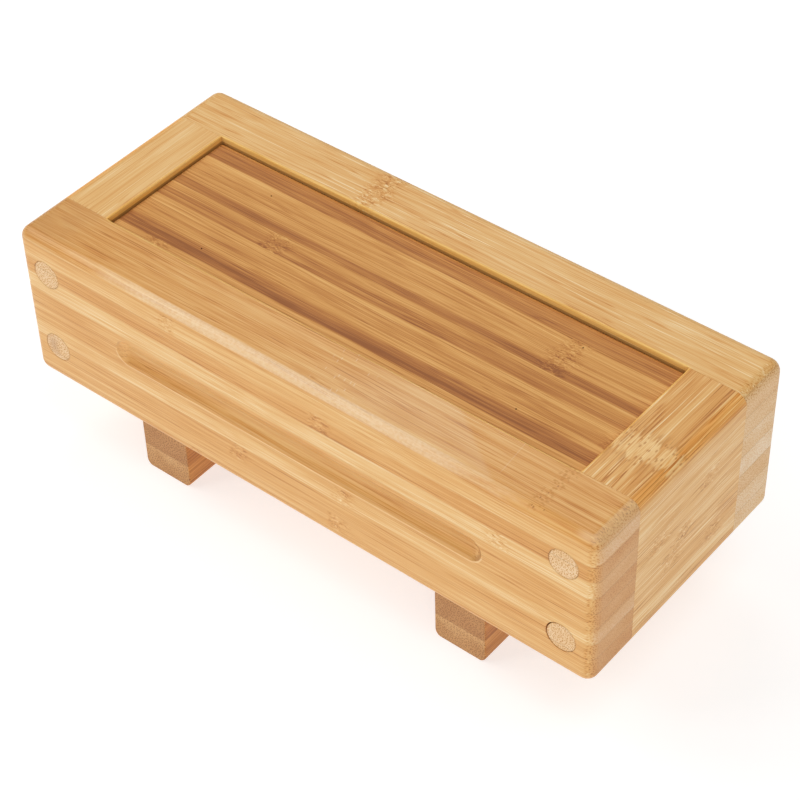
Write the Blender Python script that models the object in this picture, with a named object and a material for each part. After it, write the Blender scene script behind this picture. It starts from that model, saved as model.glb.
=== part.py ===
"""Bamboo press box for oblong pressed rice: a bottomless frame, a footed base and a press.

The frame is four boards pegged at the corners. It stands on the two feet of the base, round the
base board. The press is put away upside down inside it, on its own two handle battens.
X is the long way, the front rail is at -Y, and Z is 0 under the feet. All sizes are in metres.
"""
import math

import bmesh
import bpy

# Driving dimensions of the frame.
FRAME_LENGTH = 0.190
FRAME_DEPTH = 0.080
FRAME_HEIGHT = 0.0505
STOCK_THICKNESS = 0.0172        # all four boards of the frame
OUTER_ROUND = 0.003             # every outer edge of the frame
OPENING_ROUND = 0.0004          # the edges of the opening

# The finger groove along each rail, cut with a round-nosed tool.
GROOVE_LENGTH = 0.1228
GROOVE_WIDTH = 0.008
GROOVE_DEPTH = 0.0018
GROOVE_STEPS = 6

# Two dowels at each corner, through the rail and into the end board.
DOWEL_RADIUS = 0.0043
DOWEL_LENGTH = 0.0372
DOWEL_X = 0.0856
DOWEL_SPREAD = 0.013            # above and below the middle of the board
DOWEL_PLAY = 0.0002             # round each dowel in its hole
DOWEL_EASE = 0.0002             # the rims of its ends

# The two loose boards and the battens below them.
BOARD_THICKNESS = 0.014
BOARD_CORNER = 0.0007
BOARD_EASE = 0.0003
BATTEN_WIDTH = 0.0165
BATTEN_HEIGHT = 0.020
BATTEN_X = 0.0515
BATTEN_ROUND = 0.0022
FOOT_LENGTH = 0.072
HANDLE_LENGTH = 0.040

# Two headless steel pins hold each batten to its board.
PIN_RADIUS = 0.0004
PIN_LENGTH = 0.024
PIN_Y = 0.014
PIN_SUNK = 0.0004
PIN_PLAY = 0.0001
PIN_DRIFT = {"left": (0.0006, -0.0010), "right": (0.0002, 0.0006)}    # off their marks, X and Y

# Clearances: glued or resting faces, and the loose boards in the opening.
JOINT_GAP = 0.0003
PLAY_X = 0.0005
PLAY_Y = 0.0006

# Places that follow from the sizes above.
OPENING_X = FRAME_LENGTH / 2 - STOCK_THICKNESS
OPENING_Y = FRAME_DEPTH / 2 - STOCK_THICKNESS
FRAME_BOTTOM = BATTEN_HEIGHT + JOINT_GAP
FRAME_TOP = FRAME_BOTTOM + FRAME_HEIGHT
FRAME_MIDDLE = FRAME_BOTTOM + FRAME_HEIGHT / 2
BASE_TOP = FRAME_BOTTOM + BOARD_THICKNESS
HANDLE_BOTTOM = BASE_TOP + JOINT_GAP
HANDLE_TOP = HANDLE_BOTTOM + BATTEN_HEIGHT
PRESS_BOTTOM = HANDLE_TOP + JOINT_GAP
BOARD_X = OPENING_X - PLAY_X
BOARD_Y = OPENING_Y - PLAY_Y

# Facets round a dowel and a pin, and steps along a rounded edge.
DOWEL_SIDES = 32
PIN_SIDES = 12
ROUND_STEPS = 4
EASE_STEPS = 2


def clear_scene():
    """Remove every object, so that the model starts from nothing."""
    for old in list(bpy.data.objects):
        bpy.data.objects.remove(old, do_unlink=True)


def finish(name, colour, roughness, metallic=0.0):
    """Return a Principled material of one colour."""
    material = bpy.data.materials.new(name)
    material.use_nodes = True
    shader = material.node_tree.nodes["Principled BSDF"]
    shader.inputs["Base Color"].default_value = (*colour, 1.0)
    shader.inputs["Roughness"].default_value = roughness
    shader.inputs["Metallic"].default_value = metallic
    material.diffuse_color = (*colour, 1.0)
    return material


def add_object(name, mesh, material, parent):
    """Link a finished bmesh as an object with its material and its body's empty as parent."""
    data = bpy.data.meshes.new(name)
    bmesh.ops.recalc_face_normals(mesh, faces=mesh.faces)
    mesh.to_mesh(data)
    mesh.free()
    data.materials.append(material)
    thing = bpy.data.objects.new(name, data)
    thing.parent = parent
    bpy.context.scene.collection.objects.link(thing)
    return thing


def body_empty(name):
    """Return the empty that a whole body hangs from; a lift has no axis point, so it is at 0."""
    empty = bpy.data.objects.new(name, None)
    bpy.context.scene.collection.objects.link(empty)
    return empty


def board(name, low, high, roundings, material, parent):
    """Make a board from its lowest to its highest corner and round some of its edges.

    Each rounding is (test, radius, steps). The test gets an edge's middle as fractions of the
    board, 0 to 1 each way, and 0.5 marks the way that the edge runs.
    """
    size = [high[i] - low[i] for i in range(3)]
    mesh = bmesh.new()
    bmesh.ops.create_cube(mesh, size=1.0)
    for vert in mesh.verts:
        for i in range(3):
            vert.co[i] = low[i] + (vert.co[i] + 0.5) * size[i]
    for test, radius, steps in roundings:
        edges = []
        for edge in mesh.edges:
            middle = (edge.verts[0].co + edge.verts[1].co) / 2
            place = [round((middle[i] - low[i]) / size[i], 3) for i in range(3)]
            if test(*place):
                edges.append(edge)
        bmesh.ops.bevel(mesh, geom=edges, offset=radius, segments=steps, profile=0.5,
                        affect="EDGES", clamp_overlap=True)
    return add_object(name, mesh, material, parent)


def rod_mesh(start, end, radius, sides, ease=0.0):
    """Return a bmesh rod between two points that differ along one axis, its rims eased."""
    along = max(range(3), key=lambda i: abs(end[i] - start[i]))
    across = [i for i in range(3) if i != along]
    way = math.copysign(1.0, end[along] - start[along])
    stations = [(start[along], radius - ease), (end[along], radius - ease)]
    if ease > 0.0:
        stations.insert(1, (start[along] + way * ease, radius))
        stations.insert(2, (end[along] - way * ease, radius))
    mesh = bmesh.new()
    rings = []
    for place, reach in stations:
        ring = []
        for k in range(sides):
            angle = 2 * math.pi * k / sides
            point = list(start)
            point[along] = place
            point[across[0]] += reach * math.cos(angle)
            point[across[1]] += reach * math.sin(angle)
            ring.append(mesh.verts.new(point))
        rings.append(ring)
    for ring, following in zip(rings, rings[1:]):
        for k in range(sides):
            n = (k + 1) % sides
            mesh.faces.new((ring[k], ring[n], following[n], following[k]))
    mesh.faces.new(rings[0])
    mesh.faces.new(rings[-1])
    return mesh


def slot_mesh(side):
    """Return the solid that the groove's round-nosed tool sweeps in the rail on side -1 or 1.

    Its section is an arc as wide as the groove and as deep, and its ends are parts of a ball.
    """
    reach = GROOVE_WIDTH / 2
    straight = GROOVE_LENGTH / 2 - reach
    nose = (reach ** 2 + GROOVE_DEPTH ** 2) / (2 * GROOVE_DEPTH)
    widest = math.asin(reach / nose)
    stations = [(FRAME_DEPTH / 2 + 0.001, reach)]
    for step in range(GROOVE_STEPS, 0, -1):
        turn = widest * step / GROOVE_STEPS
        depth = GROOVE_DEPTH - nose * (1 - math.cos(turn))
        stations.append((FRAME_DEPTH / 2 - depth, nose * math.sin(turn)))
    mesh = bmesh.new()
    rings = []
    half = DOWEL_SIDES // 2
    for depth, radius in stations:
        ring = []
        for k in range(2 * half + 2):
            end = 1 if k <= half else -1
            angle = math.pi * (k if end == 1 else k - 1) / half - math.pi / 2
            x = end * straight + radius * math.cos(angle)
            z = FRAME_MIDDLE + radius * math.sin(angle)
            ring.append(mesh.verts.new((x, side * depth, z)))
        rings.append(ring)
    count = len(rings[0])
    for ring, following in zip(rings, rings[1:]):
        for k in range(count):
            n = (k + 1) % count
            mesh.faces.new((ring[k], ring[n], following[n], following[k]))
    mesh.faces.new(rings[0])
    mesh.faces.new(rings[-1])
    return mesh


def cutter(name, mesh):
    """Link a bmesh as a tool for boolean cuts, kept out of the finished model."""
    tool = add_object(name, mesh, GUIDE, None)
    tool.hide_render = True
    tool.display_type = "WIRE"
    return tool


def cut(target, tool):
    """Cut a tool's shape out of a piece."""
    step = target.modifiers.new(tool.name, "BOOLEAN")
    step.operation = "DIFFERENCE"
    step.object = tool


def smooth(thing, degrees=30):
    """Shade a round piece smooth, with its rims left sharp."""
    thing.data.shade_smooth()
    thing.data.set_sharp_from_angle(angle=math.radians(degrees))


def batten(name, middle, bottom, length, parent):
    """Make a batten that runs from front to back, with its two lower long edges rounded."""
    return board(
        name, (middle - BATTEN_WIDTH / 2, -length / 2, bottom),
        (middle + BATTEN_WIDTH / 2, length / 2, bottom + BATTEN_HEIGHT),
        [(lambda x, y, z: y == 0.5 and z == 0, BATTEN_ROUND, ROUND_STEPS)],
        BATTEN_BAMBOO, parent)


def loose_board(name, bottom, parent):
    """Make a board that fits the opening with play, its corners rounded and its faces eased."""
    return board(
        name, (-BOARD_X, -BOARD_Y, bottom), (BOARD_X, BOARD_Y, bottom + BOARD_THICKNESS),
        [(lambda x, y, z: z == 0.5, BOARD_CORNER, ROUND_STEPS),
         (lambda x, y, z: z in (0, 1), BOARD_EASE, 1)], BOARD_BAMBOO, parent)


def pin_rows(prefix, plate, battens, top, parent):
    """Drive two pins down through a board into each batten, their tops just below its face."""
    for hand, across in SIDES:
        for face, side in FACES:
            name = prefix + "_pin_" + hand + "_" + face
            x = across * BATTEN_X + PIN_DRIFT[hand][0]
            y = side * PIN_Y + PIN_DRIFT[hand][1]
            head = top - PIN_SUNK
            point = head - PIN_LENGTH
            pin = add_object(name, rod_mesh((x, y, head), (x, y, point), PIN_RADIUS, PIN_SIDES),
                             PIN_STEEL, parent)
            smooth(pin)
            drill = cutter("drill_" + name, rod_mesh(
                (x, y, top + BOARD_THICKNESS / 4), (x, y, point - JOINT_GAP),
                PIN_RADIUS + PIN_PLAY, PIN_SIDES))
            cut(plate, drill)
            cut(battens[hand], drill)


clear_scene()

GUIDE = finish("guide", (0.2, 0.5, 0.9), 0.5)
RAIL_BAMBOO = finish("natural_bamboo_rail", (0.78, 0.52, 0.27), 0.42)
END_BAMBOO = finish("natural_bamboo_end_board", (0.80, 0.56, 0.30), 0.45)
DOWEL_BAMBOO = finish("dowel_bamboo", (0.80, 0.62, 0.40), 0.60)
BOARD_BAMBOO = finish("carbonised_bamboo_board", (0.52, 0.28, 0.12), 0.40)
BATTEN_BAMBOO = finish("carbonised_bamboo_batten", (0.43, 0.23, 0.11), 0.50)
PIN_STEEL = finish("pin_steel", (0.18, 0.14, 0.11), 0.50, 0.8)

base = body_empty("base_body")
frame = body_empty("frame_lift")
press = body_empty("press_lift")
SIDES = (("left", -1), ("right", 1))
FACES = (("front", -1), ("back", 1))
LEVELS = (("low", -1), ("high", 1))

# The two long rails run the full length. Outer edges and upright corners are rounded, and the
# upper and lower inner edges are eased, as they are sanded round the opening.
rails = {}
for face, side in FACES:
    outer = 0 if side < 0 else 1
    inner = 1 - outer
    near = min(side * OPENING_Y, side * FRAME_DEPTH / 2)
    far = max(side * OPENING_Y, side * FRAME_DEPTH / 2)
    rails[face] = board(
        face + "_rail", (-FRAME_LENGTH / 2, near, FRAME_BOTTOM), (FRAME_LENGTH / 2, far, FRAME_TOP),
        [(lambda x, y, z, outer=outer: y == outer or (x in (0, 1) and y == 0.5),
          OUTER_ROUND, ROUND_STEPS),
         (lambda x, y, z, inner=inner: y == inner and z in (0, 1) and x == 0.5,
          OPENING_ROUND, EASE_STEPS)],
        RAIL_BAMBOO, frame)

# The end boards stand between the rails, with their grain running from rail to rail.
end_boards = {}
for hand, side in SIDES:
    outer = 0 if side < 0 else 1
    near = min(side * OPENING_X, side * FRAME_LENGTH / 2)
    far = max(side * OPENING_X, side * FRAME_LENGTH / 2)
    reach = OPENING_Y - JOINT_GAP
    end_boards[hand] = board(
        hand + "_end_board", (near, -reach, FRAME_BOTTOM), (far, reach, FRAME_TOP),
        [(lambda x, y, z, outer=outer: x == outer and z in (0, 1), OUTER_ROUND, ROUND_STEPS),
         (lambda x, y, z, outer=outer: x == 1 - outer and z in (0, 1), OPENING_ROUND, EASE_STEPS)],
        END_BAMBOO, frame)

# Each dowel passes through its rail into the end grain side of the end board, flush outside.
for face, side in FACES:
    outside = side * FRAME_DEPTH / 2
    inside = outside - side * DOWEL_LENGTH
    for hand, across in SIDES:
        for level, up in LEVELS:
            name = "dowel_" + face + "_" + hand + "_" + level
            x = across * DOWEL_X
            z = FRAME_MIDDLE + up * DOWEL_SPREAD
            dowel = add_object(
                name, rod_mesh((x, outside, z), (x, inside, z), DOWEL_RADIUS, DOWEL_SIDES,
                               DOWEL_EASE), DOWEL_BAMBOO, frame)
            smooth(dowel)
            drill = cutter("drill_" + name, rod_mesh(
                (x, outside + side * STOCK_THICKNESS / 4, z), (x, inside - side * JOINT_GAP, z),
                DOWEL_RADIUS + DOWEL_PLAY, DOWEL_SIDES))
            cut(rails[face], drill)
            cut(end_boards[hand], drill)
    cut(rails[face], cutter(face + "_groove_tool", slot_mesh(side)))


# The base: a board inside the frame on two feet that reach out under the rails.
base_board = loose_board("base_board", FRAME_BOTTOM, base)
feet = {hand: batten(hand + "_foot", side * BATTEN_X, 0.0, FOOT_LENGTH, base)
        for hand, side in SIDES}
pin_rows("base", base_board, feet, BASE_TOP, base)

# The press: the same board, with two short battens that are its handles when it is turned over.
press_board = loose_board("press_board", PRESS_BOTTOM, press)
handles = {hand: batten(hand + "_handle_batten", side * BATTEN_X, HANDLE_BOTTOM, HANDLE_LENGTH,
                        press)
           for hand, side in SIDES}
pin_rows("press", press_board, handles, PRESS_BOTTOM + BOARD_THICKNESS, press)
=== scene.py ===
"""A bamboo press box for pressed rice: bottomless frame, footed base and loose press board."""

import math

import bmesh
import bpy
import numpy as np
from mathutils import Matrix, Vector
from mathutils.geometry import delaunay_2d_cdt


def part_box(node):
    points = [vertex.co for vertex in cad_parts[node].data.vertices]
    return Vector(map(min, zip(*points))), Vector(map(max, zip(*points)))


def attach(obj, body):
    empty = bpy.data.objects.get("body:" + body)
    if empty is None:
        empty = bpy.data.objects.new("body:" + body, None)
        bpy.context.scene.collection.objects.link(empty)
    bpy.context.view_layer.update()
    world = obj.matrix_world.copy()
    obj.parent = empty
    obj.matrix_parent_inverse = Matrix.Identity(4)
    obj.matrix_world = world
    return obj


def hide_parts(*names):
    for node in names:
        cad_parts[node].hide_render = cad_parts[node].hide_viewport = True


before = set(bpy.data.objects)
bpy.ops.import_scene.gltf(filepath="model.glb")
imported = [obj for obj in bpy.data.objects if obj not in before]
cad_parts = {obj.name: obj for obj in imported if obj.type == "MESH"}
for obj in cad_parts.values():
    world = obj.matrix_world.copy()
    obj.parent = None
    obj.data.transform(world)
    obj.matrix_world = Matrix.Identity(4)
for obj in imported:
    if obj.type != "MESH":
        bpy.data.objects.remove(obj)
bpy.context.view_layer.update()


# ---------------------------------------------------------------------------------------- rails
# The two long rails are planks of natural bamboo, glued up from strips laid flat on each other
# and planed. Their outer edges are routed round, a finger groove is milled along each outer
# face, and four holes through each rail take the dowels that hold the end boards.

rail_low, rail_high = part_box("front_rail")
HALF_LENGTH = rail_high.x
HALF_DEPTH = -rail_low.y
OPENING_Y = -rail_high.y
OPENING_X = -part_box("left_end_board")[1].x
FRAME_LOW = rail_low.z
FRAME_HIGH = rail_high.z
FRAME_MIDDLE = (FRAME_LOW + FRAME_HIGH) / 2
dowel_low, dowel_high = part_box("dowel_front_right_high")
DOWEL_X = (dowel_low.x + dowel_high.x) / 2
DOWEL_SPREAD = (dowel_low.z + dowel_high.z) / 2 - FRAME_MIDDLE
DOWEL_RADIUS = (dowel_high.x - dowel_low.x) / 2
DOWEL_LENGTH = dowel_high.y - dowel_low.y

ROUTED = 0.0030
END_CORNER = 0.0034
EASED = 0.0004
EASE_FADE = 0.0020
FLAT_BAND = 0.0004
HOLE_PLAY = 0.00006
LOOSE_HOLE_PLAY = 0.00020
HOLE_RIM = 0.00010
GROOVE_HALF = 0.0574
GROOVE_RADIUS = 0.0040
GROOVE_DEPTH = 0.0018
GROOVE_LIP = 0.00025


class Shell:
    """The closed skin of a piece, put together from loops of points."""

    def __init__(self):
        self.rows = []
        self.faces = []
        self.count = 0

    def loop(self, points):
        """Take a loop, one row of x, y, z for each point, and return the points' numbers."""
        self.rows.append(np.asarray(points, float))
        self.count += len(points)
        return np.arange(self.count - len(points), self.count)

    def belt(self, loops):
        """Join each loop to the next one, point to point, with four-sided faces."""
        for one, two in zip(loops, loops[1:]):
            belt = np.stack([one, np.roll(one, -1), np.roll(two, -1), two], axis=1)
            self.faces.extend(belt.tolist())

    def fill(self, rim, holes, flat):
        """Close the flat face inside a rim and outside its holes; flat names its two axes.

        The triangles are Delaunay's. The holes are convex, so a triangle with all three corners
        on one hole's rim lies inside that hole, and is left out.
        """
        loops = [rim, *holes]
        numbers = np.concatenate(loops)
        sizes = [len(loop) for loop in loops]
        owner = np.repeat(np.arange(len(loops)), sizes)
        first = np.repeat(np.cumsum([0, *sizes[:-1]]), sizes)
        here = np.arange(len(numbers))
        after = first + (here - first + 1) % np.repeat(sizes, sizes)
        points = np.concatenate(self.rows)[numbers][:, flat]
        mesh = delaunay_2d_cdt((points * 1000).tolist(), np.stack([here, after], 1).tolist(),
                               [], 1, 1e-6)
        kept = np.array([same[0] for same in mesh[3]])
        corners = kept[np.array(mesh[2])]
        owners = owner[corners]
        inside = (owners[:, 0] > 0) & (owners.max(axis=1) == owners.min(axis=1))
        self.faces.extend(numbers[corners[~inside]].tolist())


def quarter(steps):
    """Sine and cosine of the angles from 0 to 90 degrees, for a round edge in equal steps."""
    turn = np.linspace(0, math.pi / 2, steps + 1)
    return zip(np.sin(turn), np.cos(turn))


def outline(left, right, low, high, corners, cuts, steps=6):
    """A rectangle with round corners, as u and v along one closed loop.

    Each corner is centre + radius * (cos, sin) over a quarter turn, from the right foot round to
    the left foot. cuts gives the points on the level sides, as shares of a side's length; an
    upright side has the first and last of them.
    """
    turn = np.linspace(0, math.pi / 2, steps + 1)
    ends = [cuts[0], cuts[-1]]
    middles = [(right - corners[0], low + corners[0]), (right - corners[1], high - corners[1]),
               (left + corners[2], high - corners[2]), (left + corners[3], low + corners[3])]
    arcs = []
    for k, (u, v) in enumerate(middles):
        angle = turn + (k - 1) * math.pi / 2
        arcs.append(np.stack([u + corners[k] * np.cos(angle), v + corners[k] * np.sin(angle)]))
    pieces = []
    for k, arc in enumerate(arcs):
        share = np.asarray(ends if k % 2 == 0 else cuts)
        start = arc[:, -1:]
        end = arcs[(k + 1) % 4][:, :1]
        pieces += [arc, start + (end - start) * share]
    return np.concatenate(pieces, axis=1)


def ring(radius, stretch=0.0, count=48):
    """A circle as u = r cos(a), v = r sin(a), its two halves pulled apart by stretch along u."""
    angle = 2 * math.pi * (np.arange(count) + 0.5) / count
    return radius * np.cos(angle) + stretch * np.sign(np.cos(angle)), radius * np.sin(angle)


def well(shell, profile, place):
    """Sink a hole: a ring for each (radius, depth) of its profile, set in place by a function."""
    loops = [shell.loop(place(radius, depth)) for radius, depth in profile]
    shell.belt(loops)
    return loops


def piece_of(shell, name, material, body, slot, *nodes):
    """Make a shell an object with its faces outward, its round edges smooth and its body set."""
    mesh = bpy.data.meshes.new(name)
    mesh.from_pydata(np.concatenate(shell.rows).tolist(), [], shell.faces)
    skin = bmesh.new()
    skin.from_mesh(mesh)
    bmesh.ops.recalc_face_normals(skin, faces=skin.faces)
    skin.to_mesh(mesh)
    skin.free()
    mesh.shade_smooth()
    mesh.set_sharp_from_angle(angle=math.radians(35))
    mesh.materials.append(material)
    piece = bpy.data.objects.new(name, mesh)
    bpy.context.scene.collection.objects.link(piece)
    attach(piece, body)
    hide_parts(*nodes)
    return piece


class Number:
    """A number inside a material, so that a pattern's formula can be written as plain sums."""

    def __init__(self, tree, socket):
        self.tree = tree
        self.socket = socket

    def work(self, operation, *others):
        node = self.tree.nodes.new("ShaderNodeMath")
        node.operation = operation
        for place, value in enumerate((self, *others)):
            feed(self.tree, node.inputs[place], value)
        return Number(self.tree, node.outputs[0])

    def __add__(self, other):
        return self.work("ADD", other)

    def __sub__(self, other):
        return self.work("SUBTRACT", other)

    def __mul__(self, other):
        return self.work("MULTIPLY", other)

    def __truediv__(self, other):
        return self.work("DIVIDE", other)

    def between(self, low, high):
        """Rise smoothly from 0 at low to 1 at high, or fall from 1 to 0 if high is the lower."""
        node = self.tree.nodes.new("ShaderNodeMapRange")
        node.interpolation_type = "SMOOTHSTEP"
        feed(self.tree, node.inputs["Value"], self)
        node.inputs["From Min"].default_value = min(low, high)
        node.inputs["From Max"].default_value = max(low, high)
        node.inputs["To Min"].default_value = 0.0 if low < high else 1.0
        node.inputs["To Max"].default_value = 1.0 if low < high else 0.0
        return Number(self.tree, node.outputs["Result"])

    def ramp(self, stops, smooth=True):
        """Look a number or a colour up between stops of (place, value)."""
        node = self.tree.nodes.new("ShaderNodeValToRGB")
        scale = node.color_ramp
        scale.interpolation = "LINEAR" if smooth else "CONSTANT"
        while len(scale.elements) < len(stops):
            scale.elements.new(1.0)
        for element, (place, value) in zip(scale.elements, stops):
            element.position = place
            colour = value if isinstance(value, tuple) else (value, value, value)
            element.color = (*colour, 1.0)
        feed(self.tree, node.inputs["Fac"], self)
        return Number(self.tree, node.outputs["Color"])


def feed(tree, socket, value):
    """Link a Number to a socket, or set the socket to a plain value."""
    if isinstance(value, Number):
        tree.links.new(value.socket, socket)
    else:
        socket.default_value = value


def point(tree, x, y, z=0.0):
    """Put three numbers together as the place where a pattern is read."""
    node = tree.nodes.new("ShaderNodeCombineXYZ")
    for socket, value in zip(node.inputs, (x, y, z)):
        feed(tree, socket, value)
    return node.outputs[0]


def noise(place, tree, detail=2.0, roughness=0.55):
    """Cloudy noise round 0, about -0.5 to 0.5, one lump to each unit of its place."""
    node = tree.nodes.new("ShaderNodeTexNoise")
    tree.links.new(place, node.inputs["Vector"])
    node.inputs["Scale"].default_value = 1.0
    node.inputs["Detail"].default_value = detail
    node.inputs["Roughness"].default_value = roughness
    return Number(tree, node.outputs["Fac"]) - 0.5


def cells(place, tree, flat=False):
    """Distance to the nearest of scattered points, about one point to each unit of its place."""
    node = tree.nodes.new("ShaderNodeTexVoronoi")
    node.voronoi_dimensions = "2D" if flat else "3D"
    tree.links.new(place, node.inputs["Vector"])
    node.inputs["Scale"].default_value = 1.0
    return Number(tree, node.outputs["Distance"])


def dice(tree, value, seed):
    """A random number from 0 to 1 that stays the same for one value and seed."""
    node = tree.nodes.new("ShaderNodeTexWhiteNoise")
    node.noise_dimensions = "2D"
    tree.links.new(point(tree, value, seed), node.inputs["Vector"])
    return Number(tree, node.outputs["Value"])


def mixed(tree, share, one, two, kind="MIX"):
    """Mix two colours, from all of one at share 0 to all of two at share 1."""
    node = tree.nodes.new("ShaderNodeMix")
    node.data_type = "RGBA"
    node.blend_type = kind
    feed(tree, node.inputs["Factor"], share)
    for socket, value in ((node.inputs[6], one), (node.inputs[7], two)):
        feed(tree, socket, (*value, 1.0) if isinstance(value, tuple) else value)
    return Number(tree, node.outputs[2])


NATURAL = [(0.0, (0.96, 0.72, 0.40)), (0.3, (0.86, 0.53, 0.205)), (0.55, (0.78, 0.405, 0.120)),
           (0.8, (0.66, 0.28, 0.060)), (1.0, (0.48, 0.180, 0.036))]
MILLIMETRES = 1000.0


def bamboo(name, along, stack, start, pitch, tones, nodes, palette=NATURAL, fibre=0.90,
           streak=0.50, cloud=0.30, lines=0.24, knot=0.8, speckle=0.40,
           spread=6.0, end_tones=None, end_tint=(0.93, 0.87, 0.92), gloss=0.42, seed=1.0,
           wear_and_light=None):
    """Solid bamboo, glued up from strips, so that one pattern runs right through a piece.

    The fibres run along one axis and the strips are stacked on another, from start in steps of
    pitch. tones gives how dark the wood is at places across the stack, and nodes where each
    strip has its joint of the cane. All places are in millimetres.
    """
    material = bpy.data.materials.new(name)
    material.use_nodes = True
    tree = material.node_tree
    shader = tree.nodes["Principled BSDF"]
    shader.inputs["Specular IOR Level"].default_value = 0.36
    places = tree.nodes.new("ShaderNodeTexCoord")
    split = tree.nodes.new("ShaderNodeSeparateXYZ")
    tree.links.new(places.outputs["Object"], split.inputs[0])
    across = next(axis for axis in "XYZ" if axis not in (along, stack))
    g = Number(tree, split.outputs[along]) * MILLIMETRES
    s = Number(tree, split.outputs[stack]) * MILLIMETRES
    t = Number(tree, split.outputs[across]) * MILLIMETRES

    # Which strip this is, and its own random shift, so that no two strips match.
    count = len(nodes)
    level = (s - start) / pitch
    strip = level.work("FLOOR")
    share = (level - strip)
    shift = dice(tree, strip, seed) * 400.0
    lift = dice(tree, strip, seed + 7.0) * 90.0
    run = g + shift

    # The joint of the cane: a jagged band where the fibres knot, with specks around it.
    spots = [(k / count, 0.5 + place / 400.0) for k, place in enumerate(nodes)]
    joint = ((strip + 0.5) / count).ramp(spots, smooth=False)
    jag = noise(point(tree, run / 9.0, s * 0.45, t * 0.45), tree, 3.0) * 9.0
    off = g - (joint - 0.5) * 400.0 + jag
    near = off.work("ABSOLUTE").between(spread, 0.5)
    core = off.work("ABSOLUTE").between(1.6, 0.2)

    # The fibres wander slowly through the strip, and curl at the joint.
    curl = noise(point(tree, run / 2.6, s * 0.7, t * 0.7), tree) * near * 3.0
    wander = noise(point(tree, run / 90.0, strip * 7.3, t / 12.0), tree, 1.0)
    stray = noise(point(tree, run / 95.0, strip * 5.1, t / 14.0 + 30.0), tree, 1.0)
    u = s + wander * 2.0 + curl + lift
    w = t + stray * 2.8 + curl * 0.8 + lift
    fine = noise(point(tree, run / 24.0, u * 4.0, w * 4.0), tree, 2.0, 0.6)
    bands = noise(point(tree, run / 90.0, u * 1.1, w * 0.7), tree)
    soft = noise(point(tree, run / 26.0, s / 4.0, t / 7.0), tree, 2.0)
    bundle = cells(point(tree, u * 1.8, w * 1.8), tree, flat=True)
    dots = bundle.between(0.36, 0.14)
    crease = noise(point(tree, run / 60.0, u * 1.3, w * 0.9 + 9.0), tree).work("ABSOLUTE")
    grouped = noise(point(tree, run / 30.0, u / 2.5, w / 4.0 + 3.0), tree).between(-0.10, 0.10)
    dark_lines = crease.between(0.040, 0.004) * grouped
    pale_lines = noise(point(tree, run / 40.0, u * 2.6 + 5.0, w * 1.6), tree).between(0.06, 0.20)
    specks = cells(point(tree, g * 0.7, u * 1.6, w * 1.6), tree).between(0.34, 0.16)
    dashes = noise(point(tree, run / 2.8, u * 1.5, w * 1.5), tree)

    # How far the surface cuts across the fibres: 0 on a side, 1 on an end.
    surface = tree.nodes.new("ShaderNodeNewGeometry")
    facing = tree.nodes.new("ShaderNodeSeparateXYZ")
    tree.links.new(surface.outputs["Normal"], facing.inputs[0])
    cut = Number(tree, facing.outputs[along]).work("ABSOLUTE")
    end = cut.between(0.55, 0.97)
    slant = cut.between(0.08, 0.40) * cut.between(0.99, 0.80)

    def tone_at(place, table):
        low = table[0][0]
        width = table[-1][0] - low
        stops = [((stop - low) / width, tone) for stop, tone in table]
        return ((place - low) / width).ramp(stops)

    tone = tone_at(s + wander * 1.1 + soft * 0.7, tones)
    side = Number(tree, tone.socket) + fine * fibre + bands * streak + soft * cloud
    side = side + dark_lines * lines - pale_lines * (lines * 0.9) + dots * 0.15
    mark = near * (dashes * 1.9 + specks * 0.24 + 0.12) - core * 0.08
    side = side + mark * knot
    ends = tone_at(s, end_tones or tones) + soft * 0.30 + fine * 0.15 + dots * speckle
    mix = side + (ends - side) * end + slant * dots * 0.20
    wood = mix.ramp(palette)

    # A thin dark glue line lies between two strips, and shows most on the ends.
    seam = (share - 0.5).work("ABSOLUTE").between(0.5 - 0.12 / pitch, 0.5 - 0.02 / pitch)
    wood = mixed(tree, end, wood, mixed(tree, 1.0, wood, end_tint, "MULTIPLY"))
    wood = mixed(tree, seam * (end * 0.36 + 0.10), wood, (0.30, 0.14, 0.055))
    if wear_and_light:
        wood = wear_and_light(tree, wood, g, s, t, facing)
    tree.links.new(wood.socket, shader.inputs["Base Color"])
    rough = fine * 0.14 + soft * 0.10 + end * 0.10 + gloss
    tree.links.new(rough.socket, shader.inputs["Roughness"])
    bump = tree.nodes.new("ShaderNodeBump")
    bump.inputs["Strength"].default_value = 0.35
    bump.inputs["Distance"].default_value = 0.00012
    height = fine * 0.9 - dots * 0.35 - near * specks * 0.6 - seam * 0.6
    tree.links.new(height.socket, bump.inputs["Height"])
    tree.links.new(bump.outputs["Normal"], shader.inputs["Normal"])
    return material


# Points along a rail's level sides, as shares of the straight part: a few along the opening, and
# several close together at each corner of the opening, where the eased edge runs out.
corner_cuts = OPENING_X - np.array([0.0, 0.25, 0.5, 0.75, 1.0, 1.25]) * EASE_FADE
rail_x = np.concatenate([[HALF_LENGTH - END_CORNER - FLAT_BAND], corner_cuts,
                         np.linspace(0.0605, 0.0, 5)])
rail_x = np.unique(np.concatenate([-rail_x, rail_x]))
RAIL_CUTS = 0.5 + rail_x / (2 * (HALF_LENGTH - END_CORNER))


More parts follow.
